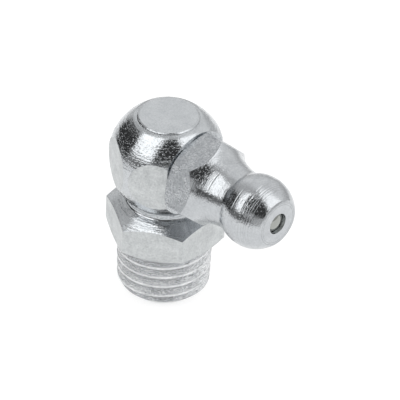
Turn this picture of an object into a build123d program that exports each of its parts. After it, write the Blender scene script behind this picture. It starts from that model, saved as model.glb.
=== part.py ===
from build123d import *

import os
from math import atan, ceil, cos, degrees, radians, sqrt, tan

# Angled grease nipple, 90 degrees, with a taper thread stud. Millimetres.
# The origin is on the stud's axis in the plane of the hexagon's underside. +Z runs up the stud's axis,
# and +X is the way that the coupling head points.

# ---- Driving dimensions: body, turned and milled from hexagon bar ----
bar_width = 9.0  # hexagon bar, across its flats
hexagon_height = 3.0
hexagon_chamfer_angle = 30.0  # turned on both faces of the hexagon

stud_length = 5.5  # M8 x 1 taper thread, right-hand
thread_diameter = 8.0  # at the gauge plane
gauge_distance = 2.5  # from the stud's end up to the gauge plane
thread_taper = 1 / 16  # on the diameter
thread_pitch = 1.0
thread_flank_angle = 30.0  # of each flank, from the plane across the axis
thread_crest = 0.25  # flat left on the crests
thread_root = 0.17  # flat at the bottom of the groove
groove_offset = 0.37  # from the hexagon's underside down to the groove's middle, on the head's side
stud_end_chamfer = 0.9

ball_diameter = 10.1
crown_diameter = 5.24  # flat turned on top of the ball
crown_step = 0.11  # 45 degree edge by which the flat stands proud of the ball
neck_diameter = 6.7
neck_length = 0.47  # plain length between the hexagon's top cone and the ball
neck_foot = 0.2  # 45 degree corner that the form tool leaves between hexagon and neck

seat_offset = 3.2  # body axis to the spot face that the collar seats on
spot_face_margin = 0.25  # cutter radius beyond the rim that it leaves on the ball
cross_bore_diameter = 5.0
cross_bore_depth = 4.9  # from the spot face to the full diameter's end
drill_point_angle = 118.0
grease_bore_diameter = 3.0

# ---- Driving dimensions: coupling head, turned from hexagon bar and pressed in ----
collar_width = 7.0  # hexagon bar, across its flats
collar_length = 2.62
collar_back_chamfer_angle = 30.0
collar_front_chamfer_angle = 45.0
collar_turn = 16.0  # how the collar's corners happen to stand, from the horizontal

throat_curve = 5.0  # radius of the hollow curve from the collar down to the waist
waist_diameter = 5.48
waist_chamfer = 0.25  # between the waist and the head
head_diameter = 6.45
head_centre = 10.5  # body axis to the head's centre
head_front = 12.95  # body axis to the head's flat front
front_edge_chamfer = 0.08

shank_length = 2.85
shank_lead_chamfer = 0.25
mouth_diameter = 1.9
mouth_land = 0.35  # plain length of the mouth in front of the valve seat
seat_half_angle = 45.0
valve_bore_diameter = 3.5
rim_thickness = 0.6  # rolled rim that keeps the spring in
rim_opening = 2.2

# ---- Driving dimensions: valve ----
check_ball_diameter = 3.0
seat_clearance = 0.02  # between ball and seat, along the seat's normal
wire_diameter = 0.35
wire_sides = 5  # flats that stand for the wire's round section
spring_diameter = 3.0  # outside
spring_pitch = 2.2
spring_clearance = 0.03  # between the ground ends and what they stand on

os.makedirs("parts", exist_ok=True)

# ---- Body ----
bar_corner_radius = bar_width / sqrt(3)
blank_radius = 1.1 * bar_corner_radius  # outline before the bar's flats bound it
chamfer_slope = tan(radians(hexagon_chamfer_angle))
blank_chamfer_drop = (blank_radius - bar_width / 2) * chamfer_slope
stud_top_radius = (thread_diameter + (stud_length - gauge_distance) * thread_taper) / 2
stud_end_radius = (thread_diameter - (gauge_distance - stud_end_chamfer) * thread_taper) / 2
flank_slope = tan(radians(thread_flank_angle))
groove_depth = (thread_pitch - thread_crest - thread_root) / 2 / flank_slope
groove_turns = ceil(stud_length / thread_pitch) + 2  # a whole turn runs out at each end
groove_start = thread_pitch * (1 - groove_turns) - groove_offset

ball_radius = ball_diameter / 2
neck_radius = neck_diameter / 2
neck_bottom = hexagon_height + (bar_width / 2 - neck_radius) * chamfer_slope
neck_top = neck_bottom + neck_length
ball_height = neck_top + sqrt(ball_radius**2 - neck_radius**2)
crown_foot_radius = crown_diameter / 2 + crown_step
crown_foot = ball_height + sqrt(ball_radius**2 - crown_foot_radius**2)
crown_height = crown_foot + crown_step

cross_axis = Axis((0, 0, ball_height), (1, 0, 0))
cross_section = Plane(origin=(0, 0, ball_height), x_dir=(1, 0, 0), z_dir=(0, -1, 0))
cross_bore_radius = cross_bore_diameter / 2
cross_bore_end = seat_offset - cross_bore_depth
drill_point = cross_bore_radius / tan(radians(drill_point_angle / 2))
spot_face_radius = sqrt(ball_radius**2 - seat_offset**2) + spot_face_margin

with BuildPart() as body:
    # Turned outline, from the hexagon's underside up to the crown
    with BuildSketch(Plane.XZ):
        with BuildLine():
            Polyline(
                (0, crown_height),
                (0, 0),
                (bar_width / 2, 0),
                (blank_radius, blank_chamfer_drop),
                (blank_radius, hexagon_height - blank_chamfer_drop),
                (neck_radius + neck_foot, neck_bottom - neck_foot * chamfer_slope),
                (neck_radius, neck_bottom + neck_foot),
                (neck_radius, neck_top),
            )
            ThreePointArc(
                (neck_radius, neck_top),
                (ball_radius, ball_height),
                (crown_foot_radius, crown_foot),
            )
            Polyline(
                (crown_foot_radius, crown_foot),
                (crown_diameter / 2, crown_height),
                (0, crown_height),
            )
        make_face()
    revolve(axis=Axis.Z)
    # The bar's own flats bound the hexagon and leave six round flats on the ball
    with BuildSketch(Plane.XY):
        RegularPolygon(bar_width / 2, 6, major_radius=False, rotation=30)
    extrude(amount=crown_height, mode=Mode.INTERSECT)
    # Spot face and cross bore for the coupling head
    with BuildSketch(cross_section):
        with Locations((seat_offset, 0)):
            Rectangle(ball_diameter, spot_face_radius, align=(Align.MIN, Align.MIN))
        with BuildLine():
            Polyline(
                (seat_offset, 0),
                (seat_offset, cross_bore_radius),
                (cross_bore_end, cross_bore_radius),
                (cross_bore_end - drill_point, 0),
                close=True,
            )
        make_face()
    revolve(axis=cross_axis, mode=Mode.SUBTRACT)
    # Stud, with its thread cut as one groove that runs out below and above it
    with BuildPart() as stud:
        with BuildSketch(Plane.XZ):
            with BuildLine():
                Polyline(
                    (0, 0),
                    (0, -stud_length),
                    (stud_end_radius - stud_end_chamfer, -stud_length),
                    (stud_end_radius, stud_end_chamfer - stud_length),
                    (stud_top_radius, 0),
                    close=True,
                )
            make_face()
        revolve(axis=Axis.Z)
        groove = Helix(
            pitch=thread_pitch,
            height=groove_turns * thread_pitch,
            radius=stud_top_radius + groove_start * thread_taper / 2,
            center=(0, 0, groove_start),
            cone_angle=degrees(atan(thread_taper / 2)),
            mode=Mode.PRIVATE,
        )
        with BuildLine() as groove_path:
            for turn in range(groove_turns):
                add(groove.trim(turn / groove_turns, (turn + 1) / groove_turns))
        with BuildSketch(Plane(origin=groove @ 0, x_dir=(1, 0, 0), z_dir=groove % 0)):
            groove_top = thread_crest / 4  # how far the cutter stands out of the stud
            with BuildLine():
                Polyline(
                    (-groove_depth, -thread_root / 2),
                    (groove_top, -thread_root / 2 - (groove_depth + groove_top) * flank_slope),
                    (groove_top, thread_root / 2 + (groove_depth + groove_top) * flank_slope),
                    (-groove_depth, thread_root / 2),
                    close=True,
                )
            make_face()
        sweep(path=groove_path.wire(), is_frenet=True, mode=Mode.SUBTRACT)
    # Grease bore, up through the stud into the cross bore
    with BuildSketch(Plane.XY.offset(-stud_length)):
        Circle(grease_bore_diameter / 2)
    extrude(amount=stud_length + ball_height, mode=Mode.SUBTRACT)
body.part.label = "body"
export_step(body.part, "parts/body.step")

# ---- Coupling head ----
collar_corner_radius = collar_width / sqrt(3)
collar_blank_radius = 1.1 * collar_corner_radius
collar_back_run = (collar_blank_radius - collar_width / 2) * tan(radians(collar_back_chamfer_angle))
collar_front_run = (collar_blank_radius - collar_width / 2) * tan(radians(collar_front_chamfer_angle))
collar_front = seat_offset + collar_length
waist_radius = waist_diameter / 2
head_radius = head_diameter / 2
throat_drop = collar_width / 2 - waist_radius
throat_run = sqrt(throat_drop * (2 * throat_curve - throat_drop))
waist_start = collar_front + throat_run
waist_end = head_centre - sqrt(head_radius**2 - waist_radius**2)
front_radius = sqrt(head_radius**2 - (head_front - head_centre) ** 2)
shank_end = seat_offset - shank_length
shank_radius = cross_bore_radius  # pressed in, line to line
valve_bore_radius = valve_bore_diameter / 2
mouth_radius = mouth_diameter / 2
seat_front = head_front - mouth_land
seat_back = seat_front - (valve_bore_radius - mouth_radius) / tan(radians(seat_half_angle))

with BuildPart() as coupling_head:
    # Turned outline, from the shank to the head's front
    with BuildSketch(cross_section) as head_outline:
        with BuildLine():
            Polyline(
                (shank_end, 0),
                (shank_end, shank_radius - shank_lead_chamfer),
                (shank_end + shank_lead_chamfer, shank_radius),
                (seat_offset, shank_radius),
                (seat_offset, collar_width / 2),
                (seat_offset + collar_back_run, collar_blank_radius),
                (collar_front - collar_front_run, collar_blank_radius),
                (collar_front, collar_width / 2),
            )
            TangentArc(
                (waist_start, waist_radius), (collar_front, collar_width / 2), tangent=(-1, 0)
            )
            Line((waist_start, waist_radius), (waist_end, waist_radius))
            ThreePointArc(
                (waist_end, waist_radius),
                (head_centre, head_radius),
                (head_front, front_radius),
            )
            Polyline((head_front, front_radius), (head_front, 0), (shank_end, 0))
        make_face()
        front_corner = head_outline.vertices().group_by(Axis.X)[-1].sort_by(Axis.Y)[-1]
        chamfer(front_corner, front_edge_chamfer)
        waist_corner = head_outline.vertices().sort_by_distance((waist_end, waist_radius))[0]
        chamfer(waist_corner, waist_chamfer)
    revolve(axis=cross_axis)
    # The bar's own flats bound the collar
    with BuildSketch(Plane(origin=(shank_end, 0, ball_height), x_dir=(0, 1, 0), z_dir=(1, 0, 0))):
        RegularPolygon(collar_width / 2, 6, major_radius=False, rotation=collar_turn)
    extrude(amount=head_front - shank_end, mode=Mode.INTERSECT)
    # Mouth, valve seat, valve bore and the opening in the rolled rim
    with BuildSketch(cross_section):
        with BuildLine():
            Polyline(
                (shank_end, 0),
                (shank_end, rim_opening / 2),
                (shank_end + rim_thickness, rim_opening / 2),
                (shank_end + rim_thickness, valve_bore_radius),
                (seat_back, valve_bore_radius),
                (seat_front, mouth_radius),
                (head_front, mouth_radius),
                (head_front, 0),
                close=True,
            )
        make_face()
    revolve(axis=cross_axis, mode=Mode.SUBTRACT)
coupling_head.part.label = "coupling_head"
export_step(coupling_head.part, "parts/coupling_head.step")

# ---- Check ball, closed against its seat ----
check_ball_radius = check_ball_diameter / 2
seat_angle = radians(seat_half_angle)
seat_apex = seat_front + mouth_radius / tan(seat_angle)
check_ball_centre = seat_apex - (check_ball_radius + seat_clearance) / cos(radians(90) - seat_angle)

with BuildPart() as check_ball:
    with Locations((check_ball_centre, 0, ball_height)):
        Sphere(check_ball_radius)
check_ball.part.label = "check_ball"
export_step(check_ball.part, "parts/check_ball.step")

# ---- Valve spring, closed between the check ball and the rolled rim, its ends ground square ----
coil_radius = (spring_diameter - wire_diameter) / 2
coil_inner_radius = spring_diameter / 2 - wire_diameter
spring_back = shank_end + rim_thickness + spring_clearance
spring_front = check_ball_centre - sqrt(check_ball_radius**2 - coil_inner_radius**2) - spring_clearance
coil_length = spring_front - spring_back + wire_diameter

with BuildPart() as valve_spring:
    with BuildLine() as coil:
        Helix(
            pitch=spring_pitch,
            height=coil_length,
            radius=coil_radius,
            center=(spring_back - wire_diameter / 2, 0, ball_height),
            direction=(1, 0, 0),
        )
    with BuildSketch(Plane(origin=coil.line @ 0, z_dir=coil.line % 0)):
        RegularPolygon(wire_diameter / 2, wire_sides)
    sweep(is_frenet=True)
    split(bisect_by=Plane.YZ.offset(spring_back), keep=Keep.TOP)
    split(bisect_by=Plane.YZ.offset(spring_front), keep=Keep.BOTTOM)
valve_spring.part.label = "valve_spring"
export_step(valve_spring.part, "parts/valve_spring.step")
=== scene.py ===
import math

import bmesh
import bpy
from mathutils import Matrix, Vector


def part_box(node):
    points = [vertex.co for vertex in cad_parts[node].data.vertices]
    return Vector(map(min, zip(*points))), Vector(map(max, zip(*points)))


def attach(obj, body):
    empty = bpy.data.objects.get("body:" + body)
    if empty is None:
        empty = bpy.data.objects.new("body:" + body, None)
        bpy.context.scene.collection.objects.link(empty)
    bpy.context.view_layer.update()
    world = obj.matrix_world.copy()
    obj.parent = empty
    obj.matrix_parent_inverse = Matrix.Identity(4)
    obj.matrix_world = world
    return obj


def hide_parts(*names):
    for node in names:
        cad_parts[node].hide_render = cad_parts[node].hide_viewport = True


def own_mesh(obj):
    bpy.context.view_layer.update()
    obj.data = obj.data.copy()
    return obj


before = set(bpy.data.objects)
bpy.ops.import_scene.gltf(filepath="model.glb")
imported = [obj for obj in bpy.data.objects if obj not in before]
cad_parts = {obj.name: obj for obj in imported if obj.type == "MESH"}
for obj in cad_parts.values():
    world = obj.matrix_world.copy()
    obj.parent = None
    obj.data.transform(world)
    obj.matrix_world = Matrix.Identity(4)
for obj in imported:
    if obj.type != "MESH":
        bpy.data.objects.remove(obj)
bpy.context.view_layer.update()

# Angled grease nipple. Sizes are in millimetres, as a maker's drawing gives them, and MM turns them
# into the frame's metres. The origin is on the stud's axis in the plane of the hexagon's underside,
# +Z runs up the stud's axis and +X is the way that the coupling head points.
MM = 0.001

# ---- Sizes that the frame gives ----
body_low, body_high = [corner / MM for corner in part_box("body")]
head_low, head_high = [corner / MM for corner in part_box("coupling_head")]
ball_low, ball_high = [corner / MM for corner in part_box("check_ball")]
spring_low, spring_high = [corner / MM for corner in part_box("valve_spring")]

bar_width = body_high.x - body_low.x
stud_length = -body_low.z
crown_height = body_high.z
head_front = head_high.x
ball_height = (ball_low.z + ball_high.z) / 2
shank_end = head_low.x

# ---- Body, as in the solids ----
hexagon_height = 3.0
hexagon_chamfer_angle = 30.0
thread_diameter = 8.0
gauge_distance = 2.5
thread_taper = 1 / 16
thread_pitch = 1.0
thread_flank_angle = 30.0
thread_crest = 0.25
thread_root = 0.17
groove_offset = 0.37
stud_end_chamfer = 0.9
ball_diameter = 10.1
crown_diameter = 5.24
crown_step = 0.11
neck_diameter = 6.7
seat_offset = 3.2
spot_face_margin = 0.25
cross_bore_diameter = 5.0
cross_bore_depth = 4.9
drill_point_angle = 118.0
grease_bore_diameter = 3.0

# ---- Coupling head, as in the solids ----
collar_width = 7.0
collar_length = 2.62
collar_back_chamfer_angle = 30.0
collar_front_chamfer_angle = 45.0
collar_turn = 16.0
throat_curve = 5.0
waist_diameter = 5.48
head_diameter = 6.45
head_centre = 10.5
front_edge_chamfer = 0.08
shank_lead_chamfer = 0.25
mouth_diameter = 1.9
mouth_land = 0.35
seat_half_angle = 45.0
valve_bore_diameter = 3.5
rim_thickness = 0.6
rim_opening = 2.2

# ---- Valve, as in the solids ----
wire_diameter = 0.35
spring_pitch = 2.2

# ---- What the turning tools left, too fine for the solids ----
neck_foot = 0.08  # corner between hexagon and neck, sharper than the 0.2 mm of the solids
neck_foot_run = 0.1  # longest run of the outline where its corners are worn round
neck_foot_wear = 0.07  # most that the first cut takes off a corner there
neck_foot_cuts = 2
waist_rounding = 0.5  # radius between the waist and the head
crown_ledge = 0.24  # ring outside the crown's step where the tool ran out, flatter than the ball
crown_ledge_drop = 0.08
crown_undercut = 0.06  # how far the tool ran in under the step
crown_chamfer_width = 0.12  # round the top of the step
crown_chamfer_height = 0.08
# Marks round the axis: where each starts, is deepest and ends along the axis, and its depth
throat_marks = (
    (6.64, 6.68, 6.72, 0.006),
    (6.74, 6.78, 6.82, 0.006),
    (6.83, 6.87, 6.91, 0.006),
    (6.92, 6.96, 7.00, 0.006),
    (7.09, 7.15, 7.21, 0.014),
    (7.36, 7.40, 7.44, 0.003),
)
head_marks = (
    (9.58, 9.65, 9.72, 0.012),
    (9.86, 9.92, 9.98, 0.006),
    (10.12, 10.20, 10.26, 0.012),
    (11.03, 11.26, 11.28, 0.055),
    (11.34, 11.52, 11.54, 0.032),
    (11.56, 11.72, 11.74, 0.026),
    (11.80, 11.88, 11.90, 0.016),
    (11.95, 12.10, 12.12, 0.024),
)
face_ring_radii = (1.96, 1.80)  # fine grooves in the head's front face
face_ring_depth = 0.015
face_ring_reach = 0.02  # from a groove's middle to its edge

# ---- Meshes ----
turn_steps = 240  # faces round a turned surface
cross_bore_steps = 120
grease_bore_steps = 96
check_ball_steps = 96
thread_steps = (144, 24)  # faces for one turn of the thread, round it and across it
coil_steps = (40, 14)  # faces for one turn of the spring, along the wire and round it
arc_step = 1.2  # degrees between the points of a turned arc
waist_arc_step = 4.0
check_ball_arc_step = 3.0
blank_share = 1.1  # radius of a blank before its flats are cut, as a share of the bar's corners
plug_depth = 0.6  # how far the hexagon reaches down inside the stud, so that the two are one
plug_wall = 0.4  # what it leaves there inside the bottom of the thread
stud_overlap = 0.3  # how far the stud reaches up inside the hexagon
cutter_overshoot = 1.0  # how far a cutter stands out of what it cuts
crown_inner_radius = 1.0  # where the narrow faces round the crown's middle start
touching = 1e-3  # how near a face's middle is to the flat that it lies on
no_length = 1e-9  # a radius under this is on the axis
weld_distance = 1e-4


# ======== Mesh helpers ========
def arc(centre, radius, start, stop, step=arc_step):
    """Points (along, out) of a round stretch of an outline, from angle start to stop in degrees."""
    count = max(2, math.ceil(abs(stop - start) / step))
    angles = [math.radians(start + (stop - start) * i / count) for i in range(count + 1)]
    return [(centre[0] + radius * math.cos(a), centre[1] + radius * math.sin(a)) for a in angles]


def divided(points, step):
    """The outline with points added so that no run is longer than step."""
    out = [points[0]]
    for (a, b), (c, d) in zip(points, points[1:]):
        count = max(1, math.ceil(math.hypot(c - a, d - b) / step))
        out += [(a + (c - a) * i / count, b + (d - b) * i / count) for i in range(1, count + 1)]
    return out


def rounded(points, reach, passes):
    """The outline with its corners worn away by repeated cutting, each no further than reach."""
    for _ in range(passes):
        smooth = [points[0]]
        for before, corner, after in zip(points, points[1:], points[2:]):
            p, a, b = Vector(corner), Vector(before), Vector(after)
            cut = min(reach, (a - p).length / 3, (b - p).length / 3)
            smooth += [tuple(p + (a - p).normalized() * cut), tuple(p + (b - p).normalized() * cut)]
        points = smooth + [points[-1]]
        reach = reach / 2
    return points


def marked(points, marks):
    """An outline that runs steadily along the axis, with the tool's marks cut into it."""
    places = sorted({place for mark in marks for place in mark[:3]})
    full = [points[0]]
    for (a, b), (c, d) in zip(points, points[1:]):
        full += [(place, b + (d - b) * (place - a) / (c - a)) for place in places
                 if a + weld_distance < place < c - weld_distance]
        full.append((c, d))
    lowered = []
    for along, out in full:
        for start, bottom, stop, depth in marks:
            if start < along <= bottom:
                out -= depth * (along - start) / (bottom - start)
            elif bottom < along < stop:
                out -= depth * (stop - along) / (stop - bottom)
        lowered.append((along, out))
    return lowered


def turned_point(axis, origin, along, out, angle):
    """Point that lies along and out from an origin, turned by an angle round the Z or X axis."""
    c, s = out * math.cos(angle), out * math.sin(angle)
    offset = Vector((c, s, along)) if axis == "Z" else Vector((along, c, s))
    return Vector(origin) + offset


def mesh_object(name, bm):
    """New object in the scene from a mesh under construction, which is used up."""
    mesh = bpy.data.meshes.new(name)
    bm.to_mesh(mesh)
    bm.free()
    piece = bpy.data.objects.new(name, mesh)
    bpy.context.scene.collection.objects.link(piece)
    return piece


def lathe(name, outline, axis, origin, steps=turn_steps):
    """Closed mesh turned from an outline of (along, out) points. An outline that starts and ends on
    the axis makes a solid, and any other is closed on itself and makes a ring."""
    bm = bmesh.new()
    on_axis = outline[0][1] < no_length
    rings = []
    for along, out in outline:
        count = 1 if out < no_length else steps
        rings.append([bm.verts.new(turned_point(axis, origin, along, out, 2 * math.pi * i / steps))
                      for i in range(count)])
    for a, b in zip(rings, rings[1:] if on_axis else rings[1:] + rings[:1]):
        for i in range(steps):
            j = (i + 1) % steps
            if len(a) == 1:
                bm.faces.new((a[0], b[i], b[j]))
            elif len(b) == 1:
                bm.faces.new((a[j], a[i], b[0]))
            else:
                bm.faces.new((a[j], a[i], b[i], b[j]))
    bmesh.ops.recalc_face_normals(bm, faces=bm.faces)
    return mesh_object(name, bm)


def bar_flats(width, axis, origin, turn):
    """The six flats of a hexagon bar: a point and an outward normal each."""
    flats = []
    for k in range(6):
        normal = turned_point(axis, (0, 0, 0), 0, 1, math.radians(turn + 60 * k))
        flats.append((Vector(origin) + normal * (width / 2), normal))
    return flats


def on_flats(place, flats):
    """Whether a place lies on one of the flats."""
    return any((place - point).dot(normal) > -touching for point, normal in flats)


def mill_flats(piece, flats):
    """Cuts a turned blank back to the flats of the bar that it was made from."""
    bm = bmesh.new()
    bm.from_mesh(piece.data)
    for point, normal in flats:
        cut = bmesh.ops.bisect_plane(
            bm, geom=bm.verts[:] + bm.edges[:] + bm.faces[:], dist=1e-5,
            plane_co=point, plane_no=normal, clear_outer=True)
        edges = [g for g in cut["geom_cut"] if isinstance(g, bmesh.types.BMEdge)]
        bmesh.ops.holes_fill(bm, edges=[e for e in edges if e.is_boundary], sides=0)
    bmesh.ops.recalc_face_normals(bm, faces=bm.faces)
    bm.to_mesh(piece.data)
    bm.free()


def apply_modifiers(piece):
    """Leaves what a piece's modifiers make of it as its plain mesh."""
    evaluated = piece.evaluated_get(bpy.context.evaluated_depsgraph_get())
    mesh = bpy.data.meshes.new_from_object(evaluated)
    piece.modifiers.clear()
    piece.data = mesh


def combine(piece, tool, operation):
    """Boolean of two closed meshes. The tool is used up."""
    modifier = piece.modifiers.new(operation.lower(), "BOOLEAN")
    modifier.operation = operation
    modifier.solver = "MANIFOLD"
    modifier.object = tool
    apply_modifiers(piece)
    bpy.data.objects.remove(tool)


def finished(piece, materials, pick, sharp=22.0):
    """Gives each face the material that pick(its middle, its normal) numbers, shades the piece with
    edges over sharp degrees left sharp, and brings it to the frame's metres."""
    mesh = piece.data
    mesh.materials.clear()
    for material in materials:
        mesh.materials.append(material)
    for face in mesh.polygons:
        face.material_index = pick(face.center, face.normal)
    mesh.shade_smooth()
    mesh.set_sharp_from_angle(angle=math.radians(sharp))
    mesh.transform(Matrix.Scale(MM, 4))
    mesh.update()


# ======== Node helpers ========
def add(tree, kind, inputs=None, **settings):
    """Adds a node with its settings, and sets or links its inputs by name or number. A node given
    as an input stands for its first output."""
    node = tree.nodes.new(kind)
    for label, value in settings.items():
        setattr(node, label, value)
    for key, value in (inputs or {}).items():
        if isinstance(value, bpy.types.Node):
            value = value.outputs[0]
        if isinstance(value, bpy.types.NodeSocket):
            tree.links.new(value, node.inputs[key])
        else:
            node.inputs[key].default_value = value
    return node


def new_shape_tree(name, sizes):
    """Geometry Nodes tree with one named input for each size, and one for the material."""
    tree = bpy.data.node_groups.new(name, "GeometryNodeTree")
    tree.interface.new_socket("Geometry", in_out="INPUT", socket_type="NodeSocketGeometry")
    tree.interface.new_socket("Geometry", in_out="OUTPUT", socket_type="NodeSocketGeometry")
    for label in sizes:
        tree.interface.new_socket(label, in_out="INPUT", socket_type="NodeSocketFloat")
    tree.interface.new_socket("Material", in_out="INPUT", socket_type="NodeSocketMaterial")
    return tree


def run_tree(piece, tree, values):
    """Runs a tree on a piece with its sizes, and leaves the result as a plain mesh."""
    modifier = piece.modifiers.new(tree.name, "NODES")
    modifier.node_group = tree
    for item in tree.interface.items_tree:
        if item.item_type == "SOCKET" and item.in_out == "INPUT" and item.name in values:
            modifier[item.identifier] = values[item.name]
    apply_modifiers(piece)


def linear(code):
    """sRGB hex colour as linear RGBA."""
    parts = [int(code[i:i + 2], 16) / 255 for i in (1, 3, 5)]
    return (*[c / 12.92 if c <= 0.04045 else ((c + 0.055) / 1.055) ** 2.4 for c in parts], 1.0)


def new_material(name):
    """Material with an empty node tree, and that tree."""
    material = bpy.data.materials.new(name)
    material.use_nodes = True
    material.node_tree.nodes.clear()
    return material, material.node_tree


# ======== Materials ========
# Sizes of the patterns, in mm. Where a real size is given, the real one is too fine to show, and
# the pattern is drawn as coarse as it needs.
edge_wear = 0.045  # width over which handling has rounded every edge
thread_wear = 0.07  # the same on the thread, where the plating builds up on the crests
edge_dulling_and_shade = 0.3  # share of the dull colour that a fully rounded edge or crease takes: partly wear, where the plating is thin, and partly painted shade
# dull colour of thin plating, also used as painted shade on edges and creases
dull_zinc_and_edge_shade = "#5C5F62"
feed_pitch = 0.16  # between the marks of the tool's feed; real ones 0.06
feed_lap = 0.9  # pattern for each radian round the axis, which breaks the marks every 0.7
feed_band = 0.7  # width of the bands where the tool cut cleanly or tore
crystal_size = 0.14  # crystals of the plating; real ones 0.02
proud_crystal_size = 0.21  # single coarse ones; real ones 0.05
cloud_size = 1.1  # clouds in the plating of turned faces
drawn_line_width = 0.2  # lines that the die leaves; real ones 0.05
drawn_line_pull = 0.85  # share by which they are drawn out along the bar
pit_size = 0.17  # pits of the bar; real ones 0.03
bar_cloud_size = 1.0  # clouds in the plating of the bar's flats
ball_haze_size = 0.4


def dulled_and_shaded_edges(tree, worn, tint):
    """Dulls the tint over the width that wear has rounded an edge or crease: partly wear, where the
    plating is thin, and partly painted shade along edges and creases.
    """
    flat = add(tree, "ShaderNodeNewGeometry").outputs["Normal"]
    agree = add(tree, "ShaderNodeVectorMath", {0: worn, 1: flat}, operation="DOT_PRODUCT")
    edge = add(tree, "ShaderNodeMapRange", {
        "Value": agree.outputs["Value"], "From Min": 0.995, "From Max": 0.96, "To Min": 0.0,
        "To Max": edge_dulling_and_shade})
    return add(tree, "ShaderNodeMix", {0: edge, 6: tint, 7: linear(dull_zinc_and_edge_shade)},
               data_type="RGBA").outputs[2]


def turned_steel(name, axis, centre, colour, clouded, rings, crystals, specks, roughness, wear):
    """Zinc-plated steel as it leaves the lathe. Fine rings round the axis break a reflection up
    into short streaks and stretch it across them, and the plating's crystals make it sparkle. The
    heights of rings, crystals and specks and the width of wear are in mm."""
    axis = Vector(axis)
    material, tree = new_material(name)
    place = add(tree, "ShaderNodeTexCoord").outputs["Object"]
    arm = add(tree, "ShaderNodeVectorMath", {0: place, 1: Vector(centre) * MM},
              operation="SUBTRACT")
    along = add(tree, "ShaderNodeVectorMath", {0: arm, 1: axis}, operation="MULTIPLY")
    across = add(tree, "ShaderNodeVectorMath", {0: arm, 1: Vector((1, 1, 1)) - axis},
                 operation="MULTIPLY")
    out = add(tree, "ShaderNodeVectorMath", {0: across}, operation="LENGTH").outputs["Value"]
    facing = add(tree, "ShaderNodeVectorMath", {0: across}, operation="NORMALIZE")
    # Marks of the tool's feed: short streaks round the axis
    lap = add(tree, "ShaderNodeVectorMath", {
        0: facing, 1: Vector((1, 1, 1)) * feed_lap * MM, 2: along}, operation="MULTIPLY_ADD")
    feed = add(tree, "ShaderNodeTexNoise", {
        "Vector": lap, "W": out, "Scale": 1 / (feed_pitch * MM), "Detail": 2.0, "Roughness": 0.6},
        noise_dimensions="4D")
    # They are faint in the bands where the tool cut cleanly and strong where it tore
    band = add(tree, "ShaderNodeTexNoise", {
        "Vector": along, "W": out, "Scale": 1 / (feed_band * MM), "Detail": 1.0},
        noise_dimensions="4D")
    torn = add(tree, "ShaderNodeMapRange", {
        "Value": band, "From Min": 0.35, "From Max": 0.65, "To Min": rings * 0.5,
        "To Max": rings * 1.6})
    # Crystals of the plating: the fine sparkle all over
    grain = add(tree, "ShaderNodeTexNoise", {
        "Vector": place, "Scale": 1 / (crystal_size * MM), "Detail": 2.0, "Roughness": 0.6})
    # Clouds in it: patches that are a little duller and darker
    clouds = add(tree, "ShaderNodeTexNoise", {
        "Vector": place, "Scale": 1 / (cloud_size * MM), "Detail": 3.0})
    # Single coarse crystals, proud of the rest and a third as long along the axis as round it,
    # which catch the light where the steel mirrors the dark
    pulled = add(tree, "ShaderNodeVectorMath", {0: along, 1: (2.0, 2.0, 2.0), 2: place},
                 operation="MULTIPLY_ADD")
    coarse = add(tree, "ShaderNodeTexNoise", {
        "Vector": pulled, "Scale": 1 / (proud_crystal_size * MM), "Detail": 2.0})
    proud = add(tree, "ShaderNodeMapRange", {
        "Value": coarse, "From Min": 0.58, "From Max": 0.80, "To Min": 0.0, "To Max": specks})
    plated = add(tree, "ShaderNodeMath", {0: grain, 1: crystals, 2: proud},
                 operation="MULTIPLY_ADD")
    relief = add(tree, "ShaderNodeMath", {0: feed, 1: torn, 2: plated}, operation="MULTIPLY_ADD")
    worn = add(tree, "ShaderNodeBevel", {"Radius": wear * MM}, samples=6)
    bump = add(tree, "ShaderNodeBump", {"Height": relief, "Distance": MM, "Normal": worn})
    tangent = add(tree, "ShaderNodeVectorMath", {0: axis, 1: arm}, operation="CROSS_PRODUCT")
    spread = add(tree, "ShaderNodeMapRange", {
        "Value": clouds, "From Min": 0.3, "From Max": 0.7, "To Min": roughness - 0.03,
        "To Max": roughness + 0.05})
    mottle = add(tree, "ShaderNodeMix", {
        0: 0.4, 2: add(tree, "ShaderNodeMix", {0: 0.75, 2: feed, 3: grain}), 3: clouds})
    tint = add(tree, "ShaderNodeMix", {0: mottle, 6: linear(colour), 7: linear(clouded)},
               data_type="RGBA").outputs[2]
    # edges and creases darkened: partly wear, partly painted shade
    tint = dulled_and_shaded_edges(tree, worn, tint)
    shader = add(tree, "ShaderNodeBsdfPrincipled", {
        "Metallic": 1.0, "Base Color": tint, "Roughness": spread, "Normal": bump,
        "Tangent": tangent, "Anisotropic": 0.7, "Anisotropic Rotation": 0.25})
    add(tree, "ShaderNodeOutputMaterial", {"Surface": shader})
    return material


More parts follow.
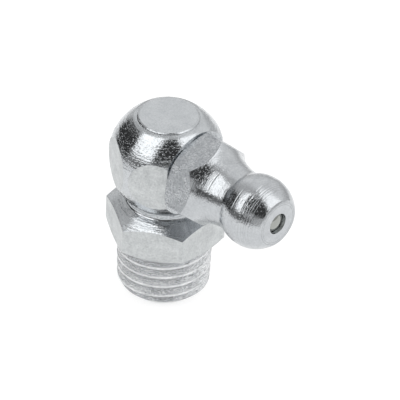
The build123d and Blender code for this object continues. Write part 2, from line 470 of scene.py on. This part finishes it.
def drawn_bar(name, axis, colour, clouded, lines, pits, roughness):
    """Flats of drawn bar: matt and a little cloudy, with small pits, and with faint lines along the
    bar where it was pulled through the die. The heights of lines and pits are in mm."""
    axis = Vector(axis)
    material, tree = new_material(name)
    place = add(tree, "ShaderNodeTexCoord").outputs["Object"]
    # Lines of the die, drawn out along the bar
    pulled = add(tree, "ShaderNodeVectorMath", {
        0: place, 1: Vector((1, 1, 1)) - axis * drawn_line_pull}, operation="MULTIPLY")
    drawing = add(tree, "ShaderNodeTexNoise", {
        "Vector": pulled, "Scale": 1 / (drawn_line_width * MM), "Detail": 3.0, "Roughness": 0.6})
    # Small pits, and clouds in the plating: a matt, mottled grey
    grain = add(tree, "ShaderNodeTexNoise", {
        "Vector": place, "Scale": 1 / (pit_size * MM), "Detail": 3.0, "Roughness": 0.65})
    clouds = add(tree, "ShaderNodeTexNoise", {
        "Vector": place, "Scale": 1 / (bar_cloud_size * MM), "Detail": 4.0})
    pitted = add(tree, "ShaderNodeMath", {0: grain, 1: pits}, operation="MULTIPLY")
    relief = add(tree, "ShaderNodeMath", {0: drawing, 1: lines, 2: pitted},
                 operation="MULTIPLY_ADD")
    worn = add(tree, "ShaderNodeBevel", {"Radius": edge_wear * MM}, samples=6)
    bump = add(tree, "ShaderNodeBump", {"Height": relief, "Distance": MM, "Normal": worn})
    spread = add(tree, "ShaderNodeMapRange", {
        "Value": clouds, "From Min": 0.3, "From Max": 0.7, "To Min": roughness - 0.05,
        "To Max": roughness + 0.06})
    stain = add(tree, "ShaderNodeMapRange", {
        "Value": add(tree, "ShaderNodeMix", {0: 0.3, 2: grain, 3: clouds}), "From Min": 0.25,
        "From Max": 0.75})
    tint = add(tree, "ShaderNodeMix", {0: stain, 6: linear(colour), 7: linear(clouded)},
               data_type="RGBA").outputs[2]
    # edges and creases darkened: partly wear, partly painted shade
    tint = dulled_and_shaded_edges(tree, worn, tint)
    shader = add(tree, "ShaderNodeBsdfPrincipled", {
        "Metallic": 1.0, "Base Color": tint, "Roughness": spread, "Normal": bump})
    add(tree, "ShaderNodeOutputMaterial", {"Surface": shader})
    return material


def ground_ball(name, colour):
    """Hardened ball, ground and polished: an even mirror with the faintest haze."""
    material, tree = new_material(name)
    place = add(tree, "ShaderNodeTexCoord").outputs["Object"]
    haze = add(tree, "ShaderNodeTexNoise", {
        "Vector": place, "Scale": 1 / (ball_haze_size * MM), "Detail": 3.0})
    spread = add(tree, "ShaderNodeMapRange", {
        "Value": haze, "From Min": 0.3, "From Max": 0.7, "To Min": 0.03, "To Max": 0.06})
    shader = add(tree, "ShaderNodeBsdfPrincipled", {
        "Metallic": 1.0, "Base Color": linear(colour), "Roughness": spread})
    add(tree, "ShaderNodeOutputMaterial", {"Surface": shader})
    return material


# Free-cutting steel turned with a form tool and bright zinc plated: a streaky, sparkling mirror
zinc_turned_body = turned_steel(
    "turned zinc-plated steel, body", axis=(0, 0, 1), centre=(0, 0, 0), colour="#DFE2E4",
    clouded="#989CA0", rings=0.026, crystals=0.009, specks=0.014, roughness=0.085, wear=edge_wear)
zinc_turned_head = turned_steel(
    "turned zinc-plated steel, head", axis=(1, 0, 0), centre=(0, 0, ball_height), colour="#DADDDF",
    clouded="#989B9F", rings=0.022, crystals=0.012, specks=0.009, roughness=0.10, wear=edge_wear)
# Thread cut with a die: torn flanks that scatter light and dark in fine sparkles. Its near-white
# colour, lighter than the zinc of the body, is painted light that lifts the shaded thread.
zinc_thread_painted_lighter = turned_steel(
    "die-cut zinc-plated thread, painted lighter", axis=(0, 0, 1), centre=(0, 0, 0), colour="#FEFEFE",
    clouded="#B4B8BC", rings=0.050, crystals=0.100, specks=0.550, roughness=0.07, wear=thread_wear)
# Cold-drawn hexagon bar, bright zinc plated: even, pale and silky
zinc_bar_body = drawn_bar(
    "drawn zinc-plated bar, body", axis=(0, 0, 1), colour="#DEE1E1", clouded="#ADB0B2",
    lines=0.016, pits=0.060, roughness=0.38)
# The thinner bar of the collar: greyer and more mottled
zinc_bar_head = drawn_bar(
    "drawn zinc-plated bar, collar", axis=(1, 0, 0), colour="#DCDFE1", clouded="#7C8086",
    lines=0.030, pits=0.040, roughness=0.27)
steel_ball = ground_ball("ground bearing steel", colour="#A2A4A0")
# Bare drawn wire: smooth and a little dull
spring_wire = drawn_bar(
    "drawn spring wire", axis=(1, 0, 0), colour="#B4B5B6", clouded="#98999A",
    lines=0.0, pits=0.004, roughness=0.35)


# ======== Body ========
bar_corner_radius = bar_width / math.sqrt(3)
blank_radius = blank_share * bar_corner_radius
chamfer_slope = math.tan(math.radians(hexagon_chamfer_angle))
blank_chamfer_drop = (blank_radius - bar_width / 2) * chamfer_slope
stud_top_radius = (thread_diameter + (stud_length - gauge_distance) * thread_taper) / 2
stud_end_radius = (thread_diameter - (gauge_distance - stud_end_chamfer) * thread_taper) / 2
flank_slope = math.tan(math.radians(thread_flank_angle))
thread_depth = (thread_pitch - thread_crest - thread_root) / 2 / flank_slope
ball_radius = ball_diameter / 2
neck_radius = neck_diameter / 2
neck_bottom = hexagon_height + (bar_width / 2 - neck_radius) * chamfer_slope
neck_top = ball_height - math.sqrt(ball_radius**2 - neck_radius**2)
crown_foot_radius = crown_diameter / 2 + crown_step
spot_face_radius = math.sqrt(ball_radius**2 - seat_offset**2) + spot_face_margin
cross_bore_end = seat_offset - cross_bore_depth
drill_point = cross_bore_diameter / 2 / math.tan(math.radians(drill_point_angle / 2))
body_flats = bar_flats(bar_width, "Z", (0, 0, 0), 0)


def body_outline():
    """Outline from the plug inside the stud up to the crown, as (height, radius)."""
    plug_radius = stud_end_radius - thread_depth - plug_wall
    under = math.degrees(math.atan2(neck_radius, neck_top - ball_height))
    ledge_radius = crown_foot_radius + crown_ledge
    over = math.degrees(math.atan2(ledge_radius, math.sqrt(ball_radius**2 - ledge_radius**2)))
    neck = [
        (hexagon_height, bar_width / 2),
        (neck_bottom - neck_foot * chamfer_slope, neck_radius + neck_foot),
        (neck_bottom + neck_foot, neck_radius),
        (neck_top, neck_radius),
    ]
    return [
        (-plug_depth, 0),
        (-plug_depth, plug_radius),
        (0, plug_radius),
        (0, bar_width / 2),
        (blank_chamfer_drop, blank_radius),
        (hexagon_height - blank_chamfer_drop, blank_radius),
        *rounded(divided(neck[:2], neck_foot_run) + neck[2:], neck_foot_wear, neck_foot_cuts),
        *arc((ball_height, 0), ball_radius, under, over)[1:],
        (crown_height - crown_step - crown_ledge_drop, crown_foot_radius - crown_undercut),
        (crown_height - crown_chamfer_height, crown_diameter / 2),
        (crown_height, crown_diameter / 2 - crown_chamfer_width),
        (crown_height, crown_inner_radius),
        (crown_height, 0),
    ]


body = lathe("body_turned_from_bar", body_outline(), "Z", (0, 0, 0))
mill_flats(body, body_flats)


def thread_tree():
    """Geometry Nodes tree for an external thread: a flat grid, one edge round the stud and the
    other across one turn of the thread, is wound into a helical band with its crest in the
    middle."""
    tree = new_shape_tree("threaded_rod", (
        "Pitch", "Depth", "Crest", "Root", "Taper", "Radius", "Start", "Turns"))
    sizes = add(tree, "NodeGroupInput").outputs
    place = add(tree, "ShaderNodeSeparateXYZ", {0: add(tree, "GeometryNodeInputPosition")})
    along, across = place.outputs[0], place.outputs[1]  # 0 to 1 each on the grid
    turns = add(tree, "ShaderNodeMath", {0: along, 1: sizes["Turns"]}, operation="MULTIPLY")
    angle = add(tree, "ShaderNodeMath", {0: turns, 1: 2 * math.pi}, operation="MULTIPLY")
    height = add(tree, "ShaderNodeMath", {
        0: add(tree, "ShaderNodeMath", {0: turns, 1: across}, operation="ADD"), 1: sizes["Pitch"],
        2: sizes["Start"]}, operation="MULTIPLY_ADD")
    # Distance from the crest's middle: no depth on the crest, all of it at the root
    away = add(tree, "ShaderNodeMath", {
        0: add(tree, "ShaderNodeMath", {
            0: add(tree, "ShaderNodeMath", {0: across, 1: 0.5}, operation="SUBTRACT")},
            operation="ABSOLUTE"), 1: sizes["Pitch"]}, operation="MULTIPLY")
    crest_edge = add(tree, "ShaderNodeMath", {0: sizes["Crest"], 1: 0.5}, operation="MULTIPLY")
    root_edge = add(tree, "ShaderNodeMath", {
        0: add(tree, "ShaderNodeMath", {0: sizes["Pitch"], 1: sizes["Root"]}, operation="SUBTRACT"),
        1: 0.5}, operation="MULTIPLY")
    share = add(tree, "ShaderNodeMapRange", {
        "Value": away, "From Min": crest_edge, "From Max": root_edge, "To Min": 0.0, "To Max": 1.0})
    depth = add(tree, "ShaderNodeMath", {0: share, 1: sizes["Depth"]}, operation="MULTIPLY")
    slope = add(tree, "ShaderNodeMath", {0: sizes["Taper"], 1: 0.5}, operation="MULTIPLY")
    cone = add(tree, "ShaderNodeMath", {0: height, 1: slope, 2: sizes["Radius"]},
               operation="MULTIPLY_ADD")
    radius = add(tree, "ShaderNodeMath", {0: cone, 1: depth}, operation="SUBTRACT")
    wound = add(tree, "ShaderNodeCombineXYZ", {
        0: add(tree, "ShaderNodeMath", {
            0: radius, 1: add(tree, "ShaderNodeMath", {0: angle}, operation="COSINE")},
            operation="MULTIPLY"),
        1: add(tree, "ShaderNodeMath", {
            0: radius, 1: add(tree, "ShaderNodeMath", {0: angle}, operation="SINE")},
            operation="MULTIPLY"),
        2: height})
    band = add(tree, "GeometryNodeSetPosition", {"Geometry": sizes["Geometry"], "Position": wound})
    joined = add(tree, "GeometryNodeMergeByDistance", {
        "Geometry": band, "Distance": weld_distance})
    real = add(tree, "GeometryNodeRealizeInstances", {"Geometry": joined})
    coated = add(tree, "GeometryNodeSetMaterial", {"Geometry": real, "Material": sizes["Material"]})
    add(tree, "NodeGroupOutput", {"Geometry": coated})
    return tree


def threaded_stud():
    """Stud with its thread and end chamfer, and a root that reaches into the hexagon."""
    steps_round, steps_across = thread_steps
    turns_below = math.ceil(stud_length / thread_pitch) + 1
    turns = turns_below + 2
    bm = bmesh.new()
    bmesh.ops.create_grid(bm, x_segments=turns * steps_round, y_segments=steps_across, size=0.5)
    bmesh.ops.translate(bm, verts=bm.verts, vec=(0.5, 0.5, 0))
    rod = mesh_object("threaded_rod", bm)
    run_tree(rod, thread_tree(), {
        "Pitch": thread_pitch, "Depth": thread_depth, "Crest": thread_crest, "Root": thread_root,
        "Taper": thread_taper, "Radius": stud_top_radius,
        "Start": -groove_offset - turns_below * thread_pitch, "Turns": float(turns),
        "Material": zinc_thread_painted_lighter})
    bm = bmesh.new()
    bm.from_mesh(rod.data)
    bmesh.ops.holes_fill(bm, edges=[e for e in bm.edges if e.is_boundary], sides=0)
    bmesh.ops.recalc_face_normals(bm, faces=bm.faces)
    bm.to_mesh(rod.data)
    bm.free()
    blank = lathe("stud_blank", [
        (-stud_length, 0),
        (-stud_length, stud_end_radius - stud_end_chamfer),
        (stud_end_chamfer - stud_length, stud_end_radius),
        (0, stud_top_radius),
        (stud_overlap, stud_top_radius),
        (stud_overlap, 0),
    ], "Z", (0, 0, 0))
    combine(rod, blank, "INTERSECT")
    return rod


combine(body, threaded_stud(), "UNION")
combine(body, lathe("cross_bore_cutter", [
    (cross_bore_end - drill_point, 0),
    (cross_bore_end, cross_bore_diameter / 2),
    (seat_offset, cross_bore_diameter / 2),
    (seat_offset, spot_face_radius),
    (seat_offset + ball_diameter / 2, spot_face_radius),
    (seat_offset + ball_diameter / 2, 0),
], "X", (0, 0, ball_height), cross_bore_steps), "DIFFERENCE")
combine(body, lathe("grease_bore_cutter", [
    (-stud_length - cutter_overshoot, 0),
    (-stud_length - cutter_overshoot, grease_bore_diameter / 2),
    (ball_height, grease_bore_diameter / 2),
    (ball_height, 0),
], "Z", (0, 0, 0), grease_bore_steps), "DIFFERENCE")


def body_finish(centre, normal):
    """Which of the body's finishes a face has: 0 turned, 1 drawn bar, 2 thread."""
    if abs(normal.z) < 1e-3 and on_flats(centre, body_flats):
        return 1
    outside_bore = math.hypot(centre.x, centre.y) > 2
    looks_down = normal.z <= -0.99
    return 2 if centre.z < 0 and outside_bore and not looks_down else 0


finished(body, [zinc_turned_body, zinc_bar_body, zinc_thread_painted_lighter], body_finish)
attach(body, "fitting")
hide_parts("body")


# ======== Coupling head ========
collar_corner_radius = collar_width / math.sqrt(3)
collar_blank_radius = blank_share * collar_corner_radius
collar_blank_rise = collar_blank_radius - collar_width / 2
collar_back_run = collar_blank_rise * math.tan(math.radians(collar_back_chamfer_angle))
collar_front_run = collar_blank_rise * math.tan(math.radians(collar_front_chamfer_angle))
collar_front = seat_offset + collar_length
waist_radius = waist_diameter / 2
head_radius = head_diameter / 2
throat_drop = collar_width / 2 - waist_radius
throat_run = math.sqrt(throat_drop * (2 * throat_curve - throat_drop))
waist_start = collar_front + throat_run
front_radius = math.sqrt(head_radius**2 - (head_front - head_centre) ** 2)
shank_radius = cross_bore_diameter / 2
valve_bore_radius = valve_bore_diameter / 2
mouth_radius = mouth_diameter / 2
seat_front = head_front - mouth_land
seat_run = (valve_bore_radius - mouth_radius) / math.tan(math.radians(seat_half_angle))
seat_back = seat_front - seat_run
collar_flats = bar_flats(collar_width, "X", (0, 0, ball_height), collar_turn + 30)


def waist_rounding_arc():
    """Arc between the waist and the head, and the place on the head where it ends."""
    reach = head_radius + waist_rounding
    rise = waist_radius + waist_rounding
    centre = head_centre - math.sqrt(reach**2 - rise**2)
    meet = math.degrees(math.atan2(-rise, head_centre - centre))
    return arc((centre, rise), waist_rounding, -90, meet, waist_arc_step)


def head_outline():
    """Outline of the coupling head, outside and bore, as (distance from body axis, radius)."""
    turned_in = math.degrees(math.asin(throat_run / throat_curve))
    throat = arc((waist_start, waist_radius + throat_curve), throat_curve, -90 - turned_in, -90)
    waist = waist_rounding_arc()
    back = math.degrees(math.atan2(waist[-1][1], waist[-1][0] - head_centre))
    front = math.degrees(math.acos((head_front - front_edge_chamfer - head_centre) / head_radius))
    face = [(head_front, front_radius - front_edge_chamfer)]
    for radius in face_ring_radii:
        face += [(head_front, radius + face_ring_reach), (head_front - face_ring_depth, radius),
                 (head_front, radius - face_ring_reach)]
    return [
        (shank_end, rim_opening / 2),
        (shank_end, shank_radius - shank_lead_chamfer),
        (shank_end + shank_lead_chamfer, shank_radius),
        (seat_offset, shank_radius),
        (seat_offset, collar_width / 2),
        (seat_offset + collar_back_run, collar_blank_radius),
        (collar_front - collar_front_run, collar_blank_radius),
        *marked(throat, throat_marks),
        *waist,
        *marked(arc((head_centre, 0), head_radius, back, front)[1:], head_marks),
        *face,
        (head_front, mouth_radius),
        (seat_front, mouth_radius),
        (seat_back, valve_bore_radius),
        (shank_end + rim_thickness, valve_bore_radius),
        (shank_end + rim_thickness, rim_opening / 2),
    ]


head = lathe("coupling_head_turned", head_outline(), "X", (0, 0, ball_height))
mill_flats(head, collar_flats)


def head_finish(centre, normal):
    """Which of the coupling head's finishes a face has: 0 turned, 1 drawn bar."""
    along_bar = abs(normal.x) < 1e-3
    return 1 if along_bar and on_flats(centre, collar_flats) and centre.x < collar_front else 0


finished(head, [zinc_turned_head, zinc_bar_head], head_finish, sharp=6.0)
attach(head, "fitting")
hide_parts("coupling_head")


# ======== Check ball and valve spring ========
check_ball_radius = (ball_high.x - ball_low.x) / 2
check_ball_centre = (ball_high.x + ball_low.x) / 2
check_ball = lathe("check_ball_ground", [
    (-check_ball_radius, 0),
    *arc((0, 0), check_ball_radius, 180 - check_ball_arc_step, check_ball_arc_step,
         check_ball_arc_step),
    (check_ball_radius, 0),
], "X", (check_ball_centre, 0, ball_height), check_ball_steps)
finished(check_ball, [steel_ball], lambda centre, normal: 0)
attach(check_ball, "check_ball")
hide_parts("check_ball")


def coil_tree():
    """Geometry Nodes tree for a compression spring: a round wire swept along a helix."""
    tree = new_shape_tree("coil_spring", ("Pitch", "Length", "Coil Radius", "Wire Radius"))
    sizes = add(tree, "NodeGroupInput").outputs
    turns = add(tree, "ShaderNodeMath", {0: sizes["Length"], 1: sizes["Pitch"]}, operation="DIVIDE")
    helix = add(tree, "GeometryNodeCurveSpiral", {
        "Resolution": coil_steps[0], "Rotations": turns, "Start Radius": sizes["Coil Radius"],
        "End Radius": sizes["Coil Radius"], "Height": sizes["Length"]})
    section = add(tree, "GeometryNodeCurvePrimitiveCircle", {
        "Resolution": coil_steps[1], "Radius": sizes["Wire Radius"]})
    wire = add(tree, "GeometryNodeCurveToMesh", {
        "Curve": helix, "Profile Curve": section, "Fill Caps": True})
    real = add(tree, "GeometryNodeRealizeInstances", {"Geometry": wire})
    coated = add(tree, "GeometryNodeSetMaterial", {"Geometry": real, "Material": sizes["Material"]})
    add(tree, "NodeGroupOutput", {"Geometry": coated})
    return tree


spring_length = spring_high.x - spring_low.x
spring = mesh_object("valve_spring_wire", bmesh.new())
run_tree(spring, coil_tree(), {
    "Pitch": spring_pitch, "Length": spring_length + wire_diameter,
    "Coil Radius": (spring_high.y - spring_low.y) / 2 - wire_diameter / 2,
    "Wire Radius": wire_diameter / 2, "Material": spring_wire})
spring.data.transform(
    Matrix.Translation((spring_low.x - wire_diameter / 2, 0, ball_height))
    @ Matrix.Rotation(math.radians(90), 4, "Y"))
mill_flats(spring, [(Vector((spring_low.x, 0, 0)), Vector((-1, 0, 0))),
                    (Vector((spring_high.x, 0, 0)), Vector((1, 0, 0)))])
finished(spring, [spring_wire], lambda centre, normal: 0, sharp=40.0)
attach(spring, "fitting")
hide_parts("valve_spring")
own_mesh(spring)


# ======== Camera ========
camera_azimuth, camera_elevation, camera_roll = 42.807, 37.575, -2.068  # degrees
pixels_per_mm = 11.829  # at the ball's centre
ball_pixel = (167.296, 156.241)  # the ball's centre in the picture, from its top left corner
picture = 400
camera_distance = 1000.0  # long lens, 1 m from the ball

a, e, roll = [math.radians(v) for v in (camera_azimuth, camera_elevation, camera_roll)]
level = Vector((math.cos(a), math.sin(a), 0))
back = Vector((math.sin(a) * math.cos(e), -math.cos(a) * math.cos(e), math.sin(e)))
upright = back.cross(level)
right = level * math.cos(roll) - upright * math.sin(roll)
up = level * math.sin(roll) + upright * math.cos(roll)
aim = (Vector((0, 0, ball_height)) + right * ((picture / 2 - ball_pixel[0]) / pixels_per_mm)
       + up * ((ball_pixel[1] - picture / 2) / pixels_per_mm))
lens = bpy.data.cameras.new("long_lens")
lens.sensor_width = 36.0
lens.lens = lens.sensor_width * camera_distance * pixels_per_mm / picture
lens.clip_start, lens.clip_end = 0.01, 10.0
camera = bpy.data.objects.new("camera", lens)
camera.matrix_world = Matrix.Translation((aim + back * camera_distance) * MM) @ Matrix(
    (right, up, back)).transposed().to_4x4()
bpy.context.scene.collection.objects.link(camera)
bpy.context.scene.camera = camera


# ======== Table and studio ========
sheet_reach = 80.0  # mm from the middle of the paper sheet to its sides
sheet_glow = 0.757  # light that lifts the paper to plain white, without what a shadow takes
room_tone, zenith_tone = 0.64, 0.6  # brightness of the room's pale walls and of straight up
zenith_band = (0.85, 0.98)  # height on a sphere round the object where one passes into the other


def paper_white():
    """Matt white paper. The camera and the metal see it as plain white with the object's shadow,
    and it throws the light of real paper back on the object."""
    material, tree = new_material("matt white paper")
    ray = add(tree, "ShaderNodeLightPath").outputs
    mirrored = add(tree, "ShaderNodeMath", {0: ray["Is Glossy Ray"], 1: ray["Is Transmission Ray"]},
                   operation="MAXIMUM")
    seen = add(tree, "ShaderNodeMath", {0: ray["Is Camera Ray"], 1: mirrored}, operation="MAXIMUM")
    paper = add(tree, "ShaderNodeBsdfDiffuse", {"Color": linear("#E8E8E8")})
    shadowed = add(tree, "ShaderNodeBsdfDiffuse", {"Color": linear("#A8A8A8")})
    glow = add(tree, "ShaderNodeEmission", {"Color": (1, 1, 1, 1), "Strength": sheet_glow})
    plain = add(tree, "ShaderNodeAddShader", {0: shadowed, 1: glow})
    surface = add(tree, "ShaderNodeMixShader", {0: seen, 1: paper, 2: plain})
    add(tree, "ShaderNodeOutputMaterial", {"Surface": surface})
    return material


bm = bmesh.new()
bmesh.ops.create_grid(bm, x_segments=1, y_segments=1, size=sheet_reach * MM)
table = mesh_object("table_top", bm)
table.data.transform(Matrix.Translation((0, 0, -stud_length * MM)))
table.data.materials.append(paper_white())


def toward(azimuth, elevation):
    """Direction from the object, with azimuth in degrees to the right of the camera."""
    angle = math.radians(azimuth) + math.atan2(back.y, back.x)
    rise = math.radians(elevation)
    level_share = math.cos(rise)
    return Vector((
        math.cos(angle) * level_share, math.sin(angle) * level_share, math.sin(rise)))


# Soft boxes and dark places round the table: how bright each is, how soft its edge is in degrees,
# and its corners as degrees to the right of the camera and degrees above the table
studio = (
    ("pale wall right", 0.96, 8, ((98, 8), (102, 74), (150, 74), (146, 8))),
    ("pale wall behind", 0.98, 10, ((148, 10), (158, 76), (-160, 76), (-150, 10))),
    ("dark wall left", 0.05, 4, ((-80, -12), (-85, 44), (-99, 43), (-145, 6), (-142, -14))),
    ("shelf left", 0.24, 4, ((-84, -4), (-84, 18), (-50, 18), (-50, -4))),
    ("stand under the left soft box", 0.12, 4, ((-58, -4), (-58, 18), (-14, 18), (-14, -4))),
    ("ceiling over the camera", 0.50, 5, ((-40, 60), (-75, 84), (110, 78), (60, 60))),
    ("dark wall round the camera", 0.055, 4, ((-28, 22), (-26, 70), (56, 68), (38, 7))),
    ("left soft box", 1.85, 2, ((-35, 15), (-4, 78), (-45, 86), (-107, 57), (-77, 16))),
    ("right soft box", 1.7, 5, ((44, 12), (48, 70), (108, 70), (101, 12))),
)


def studio_room():
    """World light: a pale room with two soft boxes and the darker places between them. Only the
    camera sees it as plain white."""
    world = bpy.data.worlds.new("studio_room")
    bpy.context.scene.world = world
    world.use_nodes = True
    tree = world.node_tree
    tree.nodes.clear()
    direction = add(tree, "ShaderNodeTexCoord").outputs["Generated"]
    height = add(tree, "ShaderNodeSeparateXYZ", {0: direction}).outputs[2]
    tone = add(tree, "ShaderNodeMapRange", {
        "Value": height, "From Min": zenith_band[0], "From Max": zenith_band[1],
        "To Min": room_tone, "To Max": zenith_tone})
    for name, bright, soft, corners in studio:
        points = [toward(*corner) for corner in corners]
        middle = sum(points, Vector())
        inside = None
        for start, stop in zip(points, points[1:] + points[:1]):
            edge = start.cross(stop).normalized()
            edge *= math.copysign(1, edge.dot(middle))
            side = add(tree, "ShaderNodeVectorMath", {0: direction, 1: edge},
                       operation="DOT_PRODUCT")
            reach = math.sin(math.radians(soft))
            within = add(tree, "ShaderNodeMapRange", {
                "Value": side.outputs["Value"], "From Min": -reach, "From Max": reach},
                interpolation_type="SMOOTHSTEP")
            inside = within if inside is None else add(
                tree, "ShaderNodeMath", {0: inside, 1: within}, operation="MULTIPLY")
        tone = add(tree, "ShaderNodeMix", {"Factor": inside, "A": tone, "B": bright}, label=name,
                   data_type="FLOAT")
    room = add(tree, "ShaderNodeBackground", {"Color": tone})
    white = add(tree, "ShaderNodeBackground", {"Color": (1, 1, 1, 1)})
    seen = add(tree, "ShaderNodeLightPath").outputs["Is Camera Ray"]
    mixed = add(tree, "ShaderNodeMixShader", {0: seen, 1: room, 2: white})
    add(tree, "ShaderNodeOutputWorld", {"Surface": mixed})


studio_room()
bpy.context.scene.view_settings.view_transform = "Standard"
